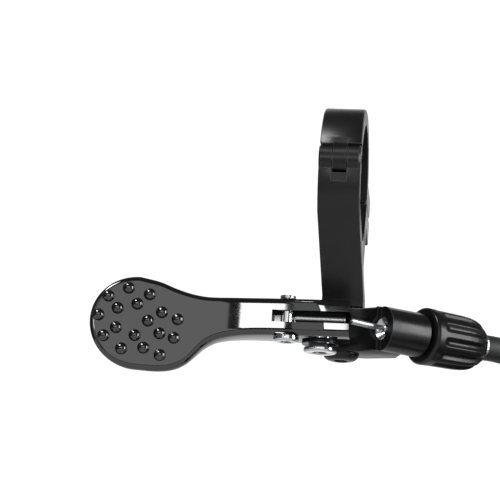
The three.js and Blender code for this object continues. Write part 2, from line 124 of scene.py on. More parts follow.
EDGE_WEAR_AND_SHEEN_WIDTH = 0.18  # millimetres of an edge that is lightened, as rubbed wear and as a painted highlight


def wear_and_edge_sheen(tree, surface, size_mm, low, high, grain_mm, depth_mm, wear_and_sheen_colour):
    """Roughness that drifts over size_mm, a fine grain, and edges lightened to a given colour, partly
    rubbed wear and partly a painted highlight.
    """
    place = node(tree, "ShaderNodeTexCoord").outputs["Object"]
    drift = node(tree, "ShaderNodeTexNoise", {"Vector": place}, Scale=1 / (size_mm * MM), Detail=4.0)
    spread = node(tree, "ShaderNodeMapRange", {"Value": drift.outputs["Fac"]},
                  From_Min=0.3, From_Max=0.7, To_Min=low, To_Max=high)
    tree.links.new(spread.outputs["Result"], surface.inputs["Roughness"])
    grain = node(tree, "ShaderNodeTexNoise", {"Vector": place}, Scale=1 / (grain_mm * MM), Detail=3.0)
    bump = node(tree, "ShaderNodeBump", {"Height": grain.outputs["Fac"]}, Distance=depth_mm * MM)
    tree.links.new(bump.outputs["Normal"], surface.inputs["Normal"])
    rounded = node(tree, "ShaderNodeBevel", samples=6, Radius=EDGE_WEAR_AND_SHEEN_WIDTH * MM)
    flat = node(tree, "ShaderNodeNewGeometry")
    turn = node(tree, "ShaderNodeVectorMath", {0: rounded.outputs["Normal"], 1: flat.outputs["Normal"]},
                operation="DOT_PRODUCT")
    edge = node(tree, "ShaderNodeMapRange", {"Value": turn.outputs["Value"]},
                From_Min=0.99, From_Max=0.86, To_Max=0.8)
    # painted highlight with wear: rounded edges are lightened towards the given colour, mottled by the
    # grain
    edge_wear_and_sheen = node(tree, "ShaderNodeMath", {0: edge.outputs["Result"], 1: grain.outputs["Fac"]},
                  operation="MULTIPLY")
    blend = node(tree, "ShaderNodeMixRGB", {"Fac": edge_wear_and_sheen.outputs["Value"]},
                 Color1=surface.inputs["Base Color"].default_value[:], Color2=linear(wear_and_sheen_colour))
    tree.links.new(blend.outputs["Color"], surface.inputs["Base Color"])


def swept(name, path, radius, sides):
    """A tube along points, its radius a number or a function of length so far and angle, in metres."""
    mesh = bpy.data.meshes.new(name)
    verts, faces = [], []
    normal = (path[1] - path[0]).normalized().orthogonal()
    so_far = 0.0
    for i, point in enumerate(path):
        ahead = path[min(i + 1, len(path) - 1)] - path[max(i - 1, 0)]
        direction = ahead.normalized()
        normal = (normal - direction * normal.dot(direction)).normalized()
        side = direction.cross(normal)
        so_far += (point - path[i - 1]).length if i else 0.0
        for k in range(sides):
            a = 2 * math.pi * k / sides
            r = radius(so_far, a) if callable(radius) else radius
            verts.append(point + (normal * math.cos(a) + side * math.sin(a)) * r)
    for i in range(len(path) - 1):
        for k in range(sides):
            a, b = i * sides + k, i * sides + (k + 1) % sides
            faces.append((a, b, b + sides, a + sides))
    faces.append(tuple(reversed(range(sides))))
    faces.append(tuple(range((len(path) - 1) * sides, len(path) * sides)))
    mesh.from_pydata([tuple(v) for v in verts], [], faces)
    mesh.shade_smooth()
    mesh.set_sharp_from_angle(angle=math.radians(50))
    piece = bpy.data.objects.new(name, mesh)
    bpy.context.scene.collection.objects.link(piece)
    return piece


def smooth_path(points, step):
    """Points a step apart on a centripetal Catmull-Rom curve through the given ones."""
    pts = [points[0] * 2 - points[1], *points, points[-1] * 2 - points[-2]]
    fine = []
    for p0, p1, p2, p3 in zip(pts, pts[1:], pts[2:], pts[3:]):
        t0 = 0.0
        t1 = t0 + (p1 - p0).length ** 0.5
        t2 = t1 + (p2 - p1).length ** 0.5
        t3 = t2 + (p3 - p2).length ** 0.5
        count = max(1, round((p2 - p1).length / step))
        for i in range(count):
            t = t1 + (t2 - t1) * i / count
            a1 = p0 * ((t1 - t) / (t1 - t0)) + p1 * ((t - t0) / (t1 - t0))
            a2 = p1 * ((t2 - t) / (t2 - t1)) + p2 * ((t - t1) / (t2 - t1))
            a3 = p2 * ((t3 - t) / (t3 - t2)) + p3 * ((t - t2) / (t3 - t2))
            b1 = a1 * ((t2 - t) / (t2 - t0)) + a2 * ((t - t0) / (t2 - t0))
            b2 = a2 * ((t3 - t) / (t3 - t1)) + a3 * ((t - t1) / (t3 - t1))
            fine.append(b1 * ((t2 - t) / (t2 - t1)) + b2 * ((t - t1) / (t2 - t1)))
    fine.append(points[-1])
    return fine


HOUSING_R = 2.5
PLAIN_R = HOUSING_R - 0.03  # past the first stretch, where the rings aren't modelled
mouth = Vector(joint["adjuster_turn"]["pos_m"])
adjuster_way = Vector(joint["adjuster_turn"]["axis"]).normalized()
coil_low, coil_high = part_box("housing_coil")
coil_centre = (coil_low + coil_high) / 2
TURNS = 9
LAYER = 4.75  # millimetres from turn to turn, so that they press on each other
COIL_R = 25.0
COIL_START = 10  # degrees above the coil's rearmost point, where the housing joins it
# the layer and row of each turn: three turns in each layer, from the outer one inwards and back
rows = [(1, 1), (1, 0), (0, 0), (0, 1), (-1, 1), (-1, 0), (-1, -1), (0, -1), (1, -1)]


def coil_point(turn):
    """Where the housing lies after so many turns, clockwise as seen from the stem."""
    here, share = divmod(turn, 1.0)
    layer, row = rows[min(int(here), TURNS - 1)]
    next_layer, next_row = rows[min(int(here) + 1, TURNS - 1)]
    ease = max(0.0, share - 0.5) * 2
    ease = ease * ease * (3 - 2 * ease)
    radius = COIL_R + LAYER * (layer + (next_layer - layer) * ease)
    across = LAYER * (row + (next_row - row) * ease)
    angle = math.radians(COIL_START) - 2 * math.pi * turn
    return coil_centre + Vector((across, radius * math.cos(angle), radius * math.sin(angle))) * MM


TURN_STEPS = 48
coil_turns = TURNS + COIL_START / 360
winding = [coil_point(i / TURN_STEPS) for i in range(int(coil_turns * TURN_STEPS) + 1)]
# straight out of the adjuster, then over and down on to the coil
lead_in = [mouth + adjuster_way * s * MM for s in (14.6, 19, 24, 28)] + [
    Vector((35.4, 19.4, -29.4)) * MM,
    Vector((39.8, 24.6, -32.6)) * MM,
    Vector((42.6, 30.8, -38.4)) * MM,
    Vector((43.6, 35.2, -43.6)) * MM,
    Vector((45.2, 40.2, -53.0)) * MM,
]
# off the coil, then straight down to the end ferrule
tail_low, tail_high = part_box("housing_tail")
tail_x = (tail_low.x + tail_high.x) / 2
tail_y = (tail_low.y + tail_high.y) / 2
lead_out = [Vector((tail_x - 1.2 * MM, tail_y, tail_high.z + 6 * MM)),
            Vector((tail_x, tail_y, tail_high.z)),
            Vector((tail_x, tail_y, (tail_high.z + tail_low.z) / 2)),
            Vector((tail_x, tail_y, tail_low.z))]
FINE_STEP, COARSE_STEP = 0.25 * MM, 2.0 * MM
first = smooth_path(lead_in + winding[:3], FINE_STEP)
rest = smooth_path(winding[2:] + lead_out, COARSE_STEP)
housing_path = first + rest[1:]
RING_PITCH, RING_DEPTH = 1.1 * MM, 0.07


def sheath(so_far):
    """The sheath dips a little between the liner's windings where a close look can see it."""
    return (HOUSING_R - RING_DEPTH * (0.5 + 0.5 * math.cos(2 * math.pi * so_far / RING_PITCH))) * MM


lead_length = sum((b - a).length for a, b in zip(first, first[1:]))
housing = swept("housing_cord", housing_path,
                lambda s, _: sheath(s) if s < lead_length else PLAIN_R * MM, 24)
# soft black plastic, dull, with a broad and weak sheen along the top of each curve
sheath_pvc, tree, surface = finish_of("housing_pvc_sheath", "#1f2022", IOR=1.5)
wear_and_edge_sheen(tree, surface, 9, 0.42, 0.58, 0.35, 0.012, "#3a3b3e")
housing.data.materials.append(sheath_pvc)
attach(housing, "cable_end")
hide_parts("cable_housing", "housing_coil", "housing_tail")

# ---- ties on the coil ----
# Two nylon 6/6 ties, 4 mm wide, moulded with rounded edges and pulled tight round the bundle, one
# on each side of the coil.
def show(piece, body, slot, material, *nodes):
    """Puts a finished piece on its body, in its finish, in place of its CAD nodes."""
    piece.data.materials.clear()
    piece.data.materials.append(material)
    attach(piece, body)
    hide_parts(*nodes)


def built(name, bm, matrix=Matrix.Identity(4)):
    """An object from a bmesh in millimetres, placed by a matrix in metres."""
    bmesh.ops.remove_doubles(bm, verts=bm.verts, dist=1e-5)
    bmesh.ops.recalc_face_normals(bm, faces=bm.faces)
    mesh = bpy.data.meshes.new(name)
    bm.to_mesh(mesh)
    bm.free()
    mesh.transform(matrix @ Matrix.Scale(MM, 4))
    made = bpy.data.objects.new(name, mesh)
    bpy.context.scene.collection.objects.link(made)
    return made


def prism(name, outline, low, high, matrix=Matrix.Identity(4)):
    """A polygon of (x, y) points raised along Z from low to high."""
    bm = bmesh.new()
    base = bm.faces.new([bm.verts.new((x, y, low)) for x, y in outline])
    raised = bmesh.ops.extrude_face_region(bm, geom=[base])["geom"]
    bmesh.ops.translate(bm, vec=(0, 0, high - low),
                        verts=[v for v in raised if isinstance(v, bmesh.types.BMVert)])
    return built(name, bm, matrix)


def settle(piece, *spent):
    """Applies the piece's modifiers and clears away the tools that they used."""
    bpy.context.view_layer.update()
    seen = piece.evaluated_get(bpy.context.evaluated_depsgraph_get())
    old, piece.data = piece.data, bpy.data.meshes.new_from_object(seen)
    piece.modifiers.clear()
    bpy.data.meshes.remove(old)
    for tool in spent:
        bpy.data.objects.remove(tool)
    return piece


def carve(piece, *tools, joins=False):
    """Cuts the tools out of the piece, or joins them to it."""
    for tool in tools:
        step = piece.modifiers.new("carve", "BOOLEAN")
        step.operation = "UNION" if joins else "DIFFERENCE"
        step.object = tool
        step.solver = "EXACT"
    return settle(piece, *tools)


def soften(piece, width, angle=35, segments=3):
    """Rounds the edges sharper than the angle by a width in millimetres, and shades it smooth."""
    step = piece.modifiers.new("edges", "BEVEL")
    step.width = width * MM
    step.segments = segments
    step.limit_method = "ANGLE"
    step.angle_limit = math.radians(angle)
    settle(piece)
    piece.data.shade_smooth()
    piece.data.set_sharp_from_angle(angle=math.radians(angle))
    return piece


def arc(radius, start, end, steps, centre=(0, 0)):
    """Points on an arc, its angles in degrees."""
    angles = [math.radians(start + (end - start) * i / steps) for i in range(steps + 1)]
    return [(centre[0] + radius * math.cos(a), centre[1] + radius * math.sin(a)) for a in angles]


def round_square(half, corner):
    far = half - corner
    return [p for k, (x, y) in enumerate([(1, 1), (-1, 1), (-1, -1), (1, -1)])
            for p in arc(corner, 90 * k, 90 * k + 90, 6, (x * far, y * far))]


# satin black plastic, its rounded edges painted a shade lighter as a highlight
nylon, tree, surface = finish_of("nylon_moulded", "#161617", IOR=1.53)
wear_and_edge_sheen(tree, surface, 4, 0.4, 0.55, 0.3, 0.006, "#2c2c2e")
TIE_OUT, TIE_IN, TIE_HALF = 8.3, 7.5, 2  # half sizes of the band, its opening and its width
for name in ("coil_tie_front", "coil_tie_rear"):
    low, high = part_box(name)
    out = (low + high) / 2 - coil_centre
    out.x = 0
    seat = Matrix.Translation(coil_centre + out) @ Matrix(
        (Vector((1, 0, 0)), out.normalized(), Vector((1, 0, 0)).cross(out.normalized()))
    ).transposed().to_4x4()
    band = prism(name + "_band", round_square(TIE_OUT, 2.6), -TIE_HALF, TIE_HALF, seat)
    carve(band, prism("hole", round_square(TIE_IN, 2.0), -TIE_HALF - 1, TIE_HALF + 1, seat))
    show(soften(band, 0.25), "cable_end", "tie", nylon, name)

# ---- handlebar clamp ----
# Body and cap of 6061 aluminium, sawn from one extruded section, milled flat on both sides, edges
# chamfered and bead-blasted. A pin hinges them at the front, and one bolt closes them behind.
# anodised and dyed: satin black with soft, broad lights, and grey at the corners, partly rubbed wear
# and partly a painted highlight line
anodised, tree, surface = finish_of("aluminium_6061_anodised", "#0c0c0d", IOR=1.4)
wear_and_edge_sheen(tree, surface, 5, 0.27, 0.38, 0.14, 0.004, "#6d6f73")
RING_R, BAR_R, CLAMP_W, EDGE = 14.1, 11.1, 7.8, 0.5
HINGE_D, KNUCKLE_R, TONGUE_W = 12.4, 2.7, 2.6
SPLIT = math.radians(6)
SPLIT_GAP = 0.35
EAR_END, EAR_CORNER, BOLT_D = 22.2, 21.6, 17.6
PIN_R, BODY_BOLT_R, CAP_BOLT_R, SCREW_HOLE_R = 1.0, 2.4, 2.1, 2.1
FOOT_LEFT, FOOT_RIGHT, FOOT_TOP, FOOT_BOTTOM = -0.8, 6.8, -21.6, -24.2
LEAN, LEAN_FROM, LEAN_TO = 0.95, -9.0, -22.0
hinge_point = Vector(joint["cap_hinge"]["pos_m"])
draw_way = Vector(joint["bolt_draw"]["axis"]).normalized()
SIDEWAYS = Matrix(((0, 0, 1), (1, 0, 0), (0, 1, 0))).to_4x4()  # local x, y, z to world y, z, x


def split(d, n):
    """The point d to the rear along the clamp's split line and n up from it."""
    return (d * math.cos(SPLIT) + n * math.sin(SPLIT), n * math.cos(SPLIT) - d * math.sin(SPLIT))


def stand(point, way):
    """A frame at a point in metres, its +Z along way."""
    return Matrix.Translation(point) @ Vector(way).to_track_quat("Z", "Y").to_matrix().to_4x4()


def turned(name, profile, matrix, segments=64):
    """A turned solid from (radius, height) pairs in millimetres, closed on its axis or on itself."""
    bm = bmesh.new()
    rings = []
    for r, h in profile:
        count = segments if r > 1e-6 else 1
        rings.append([bm.verts.new((r * math.cos(2 * math.pi * k / segments),
                                    r * math.sin(2 * math.pi * k / segments), h))
                      for k in range(count)])
    for lower, upper in zip(rings, rings[1:]):
        for k in range(segments):
            corners = [lower[k % len(lower)], lower[(k + 1) % len(lower)],
                       upper[(k + 1) % len(upper)], upper[k % len(upper)]]
            corners = list(dict.fromkeys(corners))
            if len(corners) > 2:
                bm.faces.new(corners)
    return built(name, bm, matrix)


def drill(radius, low, high, matrix, segments=64):
    return turned("drill", [(0, low), (radius, low), (radius, high), (0, high)], matrix, segments)


on_bar = stand(Vector(), (1, 0, 0))
on_hinge = stand(hinge_point, (1, 0, 0))
bolt_point = Vector((0, *split(BOLT_D, 0))) * MM
on_bolt = stand(bolt_point, draw_way)
screw_low, screw_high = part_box("mount_screw")
screw_axis = (screw_low + screw_high) / 2
pivot_point = Vector(joint["lever_pivot"]["pos_m"])
on_screw = Matrix.Translation((screw_axis.x, screw_axis.y, pivot_point.z))



def bezier(start, pull, push, end, steps):
    """Points on a cubic curve between its two ends."""
    curve = []
    for t in [k / steps for k in range(1, steps)]:
        shares = ((1 - t) ** 3, 3 * (1 - t) ** 2 * t, 3 * (1 - t) * t * t, t ** 3)
        curve.append([sum(w * p[i] for w, p in zip(shares, (start, pull, push, end)))
                      for i in (0, 1)])
    return curve


toe = (FOOT_LEFT, -22.2)
tangent = math.degrees(math.atan2(toe[1], toe[0]) - math.acos(RING_R / math.hypot(*toe)))
body_outline = [
    *arc(RING_R, 175.1, 360 + tangent, 60), toe, (FOOT_LEFT, FOOT_BOTTOM), (FOOT_RIGHT, FOOT_BOTTOM),
    (FOOT_RIGHT, FOOT_TOP), *bezier((FOOT_RIGHT, FOOT_TOP), (5.2, -20), (2.6, -17.6), (4.9, -14.6), 10),
    *arc(RING_R, -47, -21.5, 12),
    split(EAR_CORNER, -5.2), split(EAR_END, -4.6), split(EAR_END, -0.95), split(EAR_CORNER, -SPLIT_GAP),
]
clamp = soften(prism("clamp_body_milled", body_outline, -CLAMP_W / 2, CLAMP_W / 2, SIDEWAYS),
               EDGE * 0.8, 40, 2)
half = CLAMP_W / 2
BREAK = 0.3  # the knuckles' chamfer
knuckles = turned("knuckles", [(0, -half), (KNUCKLE_R - BREAK, -half), (KNUCKLE_R, BREAK - half),
                               (KNUCKLE_R, half - BREAK), (KNUCKLE_R - BREAK, half), (0, half)],
                  on_hinge)
carve(clamp, knuckles, joins=True)
gap = TONGUE_W / 2 + 0.15
pin_y, pin_z = hinge_point.y / MM, hinge_point.z / MM
# the room above the pin for the cap's tongue, and in front of it for the tongue's swing
room_front = pin_y - 3.4
recess = [(room_front, pin_z), (pin_y + 2.8, pin_z), (pin_y + 2.8, pin_z + 1.7),
          (room_front, pin_z + 1.7)]
groove = [(room_front, pin_z - 4.5), (pin_y - 1.3, pin_z - 4.5), (pin_y - 1.3, pin_z),
          (room_front, pin_z)]
carve(clamp, drill(BAR_R, -6, 6, on_bar, 160), prism("recess", recess, -gap, gap, SIDEWAYS),
      prism("groove", groove, -gap, gap, SIDEWAYS),
      drill(PIN_R, -5, 5, on_hinge), drill(KNUCKLE_R + 0.45, -gap, gap, on_hinge),
      drill(BODY_BOLT_R, -8, 1, on_bolt))
# below the ring the leg leans sideways, to bring the foot over the base block
for vertex in clamp.data.vertices:
    fall = (LEAN_FROM - vertex.co.z / MM) / (LEAN_FROM - LEAN_TO)
    vertex.co.x += LEAN * MM * min(1, max(0, fall))
carve(clamp, drill(SCREW_HOLE_R, 2.6, 8.9, on_screw))
show(soften(clamp, 0.1, 40, 2), "clamp", "anodised", anodised, "clamp_body")

cap_outline = [
    split(EAR_CORNER, SPLIT_GAP), split(EAR_END, 0.95), split(EAR_END, 4.0), split(EAR_CORNER, 4.6),
    *[split(*p) for p in arc(RING_R, 19.2, 176.6, 80)], split(-12.6, SPLIT_GAP),
]
cap = soften(prism("clamp_cap_milled", cap_outline, -half, half, SIDEWAYS), EDGE * 0.8, 40, 2)
carve(cap, drill(KNUCKLE_R + 0.4, -6, 6, on_hinge))
web = [split(-14.6, 0), split(-14.4, 1.4), split(-14.1, 2.8), split(-12.9, 5.2), split(-9.6, 6.2),
       split(-9.7, 0)]
carve(cap, prism("web", web, -TONGUE_W / 2, TONGUE_W / 2, SIDEWAYS),
      drill(KNUCKLE_R, -TONGUE_W / 2, TONGUE_W / 2, on_hinge), joins=True)
carve(cap, drill(BAR_R, -6, 6, on_bar, 160), drill(PIN_R, -5, 5, on_hinge),
      drill(CAP_BOLT_R, -1, 8, on_bolt))
show(soften(cap, 0.1, 40, 2), "cap", "anodised", anodised, "clamp_cap")

# ---- base block ----
# 6061 aluminium, milled from bar with a turned tube for the adjuster, anodised with the clamp and
# screwed up under its foot. The mouth is countersunk after anodising, down to bare metal.
BLOCK_H, TONGUE_H, TUBE_R, TUBE_END = 4.2, 1.8, 4.2, 8.8
NECK_TURN, MOUTH_TURN = math.radians(58.5), math.radians(-58)
TONGUE_R, BEARING_R, BARREL_R, WIRE_HOLE_R = 3.5, 3.05, 2.6, 1.0
level_frame = Matrix.Translation((0, 0, pivot_point.z))
on_adjuster = stand(mouth, adjuster_way)
on_pivot = Matrix.Translation(pivot_point)
plan = [(-1.6, -0.8), (4.4, -0.8), (mouth.x / MM, mouth.y / MM), (12.6, 0.4), (11.3, 5.0),
        (5.6, 6.8), (-1.9, 6.8), (-2.6, 6.1), (-2.6, 0.9)]
block = soften(prism("base_block_milled", plan, -BLOCK_H, BLOCK_H, level_frame), 0.3, 30, 2)
neck_frame = on_pivot @ Matrix.Rotation(NECK_TURN, 4, "Z")
face_frame = Matrix.Translation(mouth) @ Matrix.Rotation(MOUTH_TURN, 4, "Z")
carve(block, turned("tube", [(0, -0.9), (TUBE_R, -0.9), (TUBE_R, TUBE_END - 0.4),
                             (TUBE_R - 0.4, TUBE_END), (0, TUBE_END)], on_adjuster, 96),
      prism("neck", [(0, -2.5), (8, -2.5), (8, 2.5), (0, 2.5)], -TONGUE_H, TONGUE_H, neck_frame),
      drill(TONGUE_R, -TONGUE_H, TONGUE_H, on_pivot), joins=True)
carve(block, prism("face", [(-0.3, -6), (9, -6), (9, 0), (-0.3, 0)], -6, 6, face_frame),
      drill(BEARING_R, -2, 2, on_pivot), drill(SCREW_HOLE_R, -6.4, 6.6, on_screw),
      drill(BARREL_R, 2.6, 10, on_adjuster), drill(WIRE_HOLE_R, -2, 3, on_adjuster))
carve(block, turned("countersink", [(0, -1.3), (2.3, -1.3), (2.1, 0.1), (1.0, 1.25), (0, 1.25)],
                    on_adjuster, 64))
soften(block, 0.1, 35, 2)
show(block, "clamp", "anodised", anodised, "base_block")
# pale cut metal: a bright ring in the dark mouth, and the ends of the cable
bare, tree, surface = finish_of("aluminium_turned_bare", "#b4b6b9", Metallic=1.0)
wear_and_edge_sheen(tree, surface, 3, 0.22, 0.34, 0.2, 0.004, "#d5d7d9")
block.data.materials.append(bare)
# the countersink's cone is told from the bore and the flat face by its place and its slant
for face in block.data.polygons:
    rel = face.center - mouth
    deep = rel.dot(adjuster_way) / MM
    wide = (rel - adjuster_way * rel.dot(adjuster_way)).length / MM
    slant = abs(face.normal.dot(adjuster_way))
    if -0.6 < deep < 1.3 and 0.9 < wide < 2.16 and 0.3 < slant < 0.95:
        face.material_index = 1

# ---- thumb lever ----
# Forged 6061 aluminium, polished, then lacquered black: a deep gloss. One round paddle with
# seventeen studs for grip, a bowed neck, and a slotted hub on the pivot bolt, which turns with it.
LEVER_FRONT, LEVER_H, LEVER_END = -12.0, 3.4, 3.2
BOW, BOW_FROM, ROUND = 0.0058, -16.0, 1.15
PADDLE_X, PADDLE_Z, PADDLE_R = -35.6, -31.4, 8.7
DISH_R, DISH_DEPTH = 105.0, 0.2
STUD_R = 1.15
STUD_RINGS = [(3.1, -1, 5), (5.8, 17, 9)]  # radius, angle of the first stud, how many
RIM_STUDS = [(8.5, 4), (8.5, -20), (8.5, -48)]
MID_Z = pivot_point.z / MM
TOP = [(LEVER_END, MID_Z + LEVER_H), (-10, MID_Z + LEVER_H), (-18, -25.4), (-23, -25.55),
       (-26, -25.2), (-29, -24.4), (-32, -23.35), (PADDLE_X, PADDLE_Z + PADDLE_R)]
BOTTOM = [(LEVER_END, MID_Z - LEVER_H), (-12, -32.1), (-17.5, -32.5), (-21.2, -33.4),
          (-23.5, -34.9), (-25, -36.6), (-26.6, -38.3), (-28.6, -39.5), (-31.5, -40.1),
          (PADDLE_X, PADDLE_Z - PADDLE_R)]
REAR = [(LEVER_END, -3.6), (1.6, -2.2), (-1, -1.3), (-3.6, -1.35), (-6, -1.75), (-9, -2.2),
        (-14, -3.3), (-19, -5), (-23, -7.2), (-27, -9.5), (-31, -10.6), (-36, -11.7),
        (-44.4, -13.9)]


def through(knots, x):
    """The smooth curve through (x, value) knots, which are sorted by falling x."""
    i = max(0, min(len(knots) - 2, sum(x < k for k, _ in knots) - 1))
    (x1, y1), (x2, y2) = knots[i], knots[i + 1]
    straight = (y2 - y1) / (x2 - x1)

    def slope(a, b):
        if a < 0 or b >= len(knots):
            return straight
        return (knots[b][1] - knots[a][1]) / (knots[b][0] - knots[a][0])

    h = x2 - x1
    t = (x - x1) / h
    return ((2 * t ** 3 - 3 * t ** 2 + 1) * y1 + (t ** 3 - 2 * t ** 2 + t) * h * slope(i - 1, i + 1)
            + (3 * t ** 2 - 2 * t ** 3) * y2 + (t ** 3 - t ** 2) * h * slope(i, i + 2))


def front_of(x):
    return LEVER_FRONT - BOW * max(0.0, BOW_FROM - x) ** 2


def edges_of(x):
    """The lever's lower and upper edge at x."""
    if x > PADDLE_X:
        return through(BOTTOM, x), through(TOP, x)
    reach = math.sqrt(max(0.0, PADDLE_R ** 2 - (x - PADDLE_X) ** 2))
    return PADDLE_Z - reach, PADDLE_Z + reach


bow_slope = 2 * BOW * (BOW_FROM - PADDLE_X)
stand_off = (DISH_R - DISH_DEPTH) / math.hypot(bow_slope, 1)
dish = (PADDLE_X + bow_slope * stand_off, front_of(PADDLE_X) - stand_off, PADDLE_Z)


def dish_floor(x, z):
    return dish[1] + math.sqrt(DISH_R ** 2 - (x - dish[0]) ** 2 - (z - dish[2]) ** 2)


def face_of(x, z):
    """The front face with the thumb's dish sunk in it, its rim eased."""
    plain, sunk, ease = front_of(x), dish_floor(x, z), 0.1
    near = max(0.0, ease - abs(plain - sunk)) / ease
    return max(plain, sunk) + near * near * ease / 4


STATION = 0.35
stations = [LEVER_END - STATION * k for k in range(int((LEVER_END - PADDLE_X) / STATION))]
stations += [PADDLE_X + PADDLE_R * math.cos(math.radians(a)) for a in range(90, 162, 2)]
tip = PADDLE_X - PADDLE_R
stations += [tip + (1 - math.cos(math.radians(a))) * 0.4 for a in range(90, 6, -7)]
stations += [tip + 0.002]


def inside(x, z):
    """How far a point of the face is from the lever's outline."""
    if x <= PADDLE_X:
        return max(0.0, PADDLE_R - math.hypot(x - PADDLE_X, z - PADDLE_Z))
    nearest = ROUND
    for knots, way in ((TOP, 1), (BOTTOM, -1)):
        slope = (through(knots, x + 0.05) - through(knots, x - 0.05)) / 0.1
        nearest = min(nearest, (through(knots, x) - z) * way / math.hypot(1, slope))
    return max(0.0, nearest)


def drop(x, z):
    """How far the rounded edge falls back from a face, by the distance from the outline."""
    return ROUND - math.sqrt(ROUND ** 2 - (ROUND - min(ROUND, inside(x, z))) ** 2)


bm = bmesh.new()
ACROSS = [1 - math.cos(math.radians(a)) for a in range(0, 91, 10)]
sections = []
for x in stations:
    bottom, top = edges_of(x)
    shoulder = min(ROUND, (top - bottom) * 0.3)
    edge = [shoulder * s for s in ACROSS]
    middle = [shoulder + (top - bottom - 2 * shoulder) * k / 30 for k in range(1, 30)]
    heights = [bottom + h for h in edge + middle] + [top - h for h in reversed(edge)]
    rear = through(REAR, x)
    front_row = [(x, face_of(x, z) + drop(x, z), z) for z in heights]
    rear_row = [(x, rear - drop(x, z), z) for z in reversed(heights)]
    sections.append([bm.verts.new(p) for p in front_row + rear_row])
for one, two in zip(sections, sections[1:]):
    for k in range(len(one)):
        bm.faces.new([one[k], one[(k + 1) % len(one)], two[(k + 1) % len(one)], two[k]])
bm.faces.new(sections[0])
bm.faces.new(sections[-1])
lever = built("thumb_lever_forged", bm)

studs = bmesh.new()
places = [(r, start + 360 / count * k) for r, start, count in STUD_RINGS for k in range(count)]
for r, angle in places + RIM_STUDS:
    x = PADDLE_X - 1.3 + r * math.cos(math.radians(angle))
    z = PADDLE_Z + 0.5 + r * math.sin(math.radians(angle))
    ball = bmesh.ops.create_uvsphere(studs, u_segments=40, v_segments=24, radius=STUD_R)
    bmesh.ops.translate(studs, verts=ball["verts"], vec=(x, face_of(x, z) + 0.15, z))
carve(lever, built("studs", studs), joins=True)
room = TONGUE_H + 0.3
anchor_low, anchor_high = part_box("pinch_screw")
anchor = (anchor_low + anchor_high) / 2
on_anchor = Matrix.Translation((anchor.x, anchor.y, pivot_point.z))
SLOT_H, SLOT_FLOOR, SLOT_END = 1.1, -8.7, -11.15
HUB_ROOM_R, PIVOT_HOLE_R, ANCHOR_HOLE_R = 3.8, 1.6, 1.0
carve(lever,
      prism("pocket", [(-3.0, -0.9), (2.6, -1.5), (6.8, 5.3), (6.8, 8), (-5.6, 8), (-5.5, 6.7)],
            -room, room, on_pivot),
      drill(HUB_ROOM_R, -room, room, on_pivot), drill(PIVOT_HOLE_R, -12, 9, on_pivot),
      prism("slot", [(SLOT_END, -19), (8, -19), (8, SLOT_FLOOR), (SLOT_END, SLOT_FLOOR)],
            -SLOT_H, SLOT_H, level_frame),
      prism("corner", [(2.15, -9), (8, -9), (8, 2), (2.15, 2)], -SLOT_H, SLOT_H, level_frame),
      drill(ANCHOR_HOLE_R, -12, 9, on_anchor))
# a deep black gloss that mirrors the lights with crisp edges
lacquer, tree, surface = finish_of("lacquer_gloss_black", "#050506", IOR=1.75)
wear_and_edge_sheen(tree, surface, 6, 0.02, 0.05, 0.6, 0.0002, "#3c3d40")
show(soften(lever, 0.16, 40, 2), "lever", "gloss_black", lacquer, "thumb_lever")

# ---- fasteners ----
# Cold-headed steel with pressed hexagon sockets. The pivot bolt and pinch screw are chromed, and
# the mounting screw, clamp bolt, pivot nut and thrust washer are black oxide under oil.
# bright plating, with small sharp lights on rims and sockets
chrome, tree, surface = finish_of("steel_chromed", "#c9cbce", Metallic=1.0)
wear_and_edge_sheen(tree, surface, 2, 0.06, 0.13, 0.3, 0.0006, "#d9dadc")
# oily blue-black metal, worn grey at its edges
oxide, tree, surface = finish_of("steel_black_oxide", "#17171a", Metallic=0.5)
wear_and_edge_sheen(tree, surface, 3, 0.24, 0.36, 0.18, 0.003, "#707276")


def hex_socket(across, low, high, matrix):
    return drill(across / 2 / math.cos(math.radians(30)), low, high, matrix, 6)


def screw(name, profile, socket, matrix, body, slot, material, cad_node):
    made = turned(name, profile, matrix, 72)
    if socket:
        carve(made, hex_socket(*socket, matrix))
    show(soften(made, 0.07, 35, 2), body, slot, material, cad_node)


under = -BLOCK_H - 0.05
dome = [(0, under - 1.35), (1.9, under - 1.35), (2.45, under - 1.22), (2.9, under - 0.98),
        (3.22, under - 0.65), (3.4, under - 0.25), (3.45, under)]
screw("mount_screw_button_head", dome + [(2, under), (2, 8.4), (1.6, 8.8), (0, 8.8)],
      (2.5, under - 2, under - 0.35), on_screw, "clamp", "black_steel", oxide, "mount_screw")
under = -LEVER_H - 0.55
screw("pivot_bolt_flanged", [(0, under - 1.45), (2.9, under - 1.45), (3.15, under - 1.25),
                             (3.15, under - 0.65), (2.25, under - 0.65), (2.25, under),
                             (1.5, under), (1.5, 3.7), (0, 3.7)],
      (2.5, under - 2.4, under - 0.45), on_pivot, "lever", "chrome", chrome, "pivot_bolt")
under = -LEVER_H - 0.15
screw("pinch_screw_flanged", [(0, under - 1.05), (2.0, under - 1.05), (2.35, under - 0.75),
                              (2.35, under), (0.9, under), (0.9, 4.15), (0, 4.15)],
      (2, under - 2, under - 0.35), on_anchor, "lever", "chrome", chrome, "pinch_screw")
screw("clamp_bolt_socket_head", [(0, -4.9), (1.7, -4.9), (2, -4.6), (2, 5.2), (3.5, 5.2),
                                 (3.5, 8.3), (3.1, 8.7), (0, 8.7)],
      (3, 6.6, 9.2), on_bolt, "bolt", "black_steel", oxide, "clamp_bolt")

# ---- pieces kept from the CAD frame ----
# Turned steel rings and pins, as machined: the hinge pin, washers, nuts, shims, bearing races and
# the threaded barrel, with the housing's two ferrules of bare turned aluminium.
# plain bright steel, a little soft from the turning
steel, tree, surface = finish_of("steel_turned_bright", "#b6b8bb", Metallic=1.0)
wear_and_edge_sheen(tree, surface, 2, 0.16, 0.28, 0.15, 0.003, "#d0d1d3")
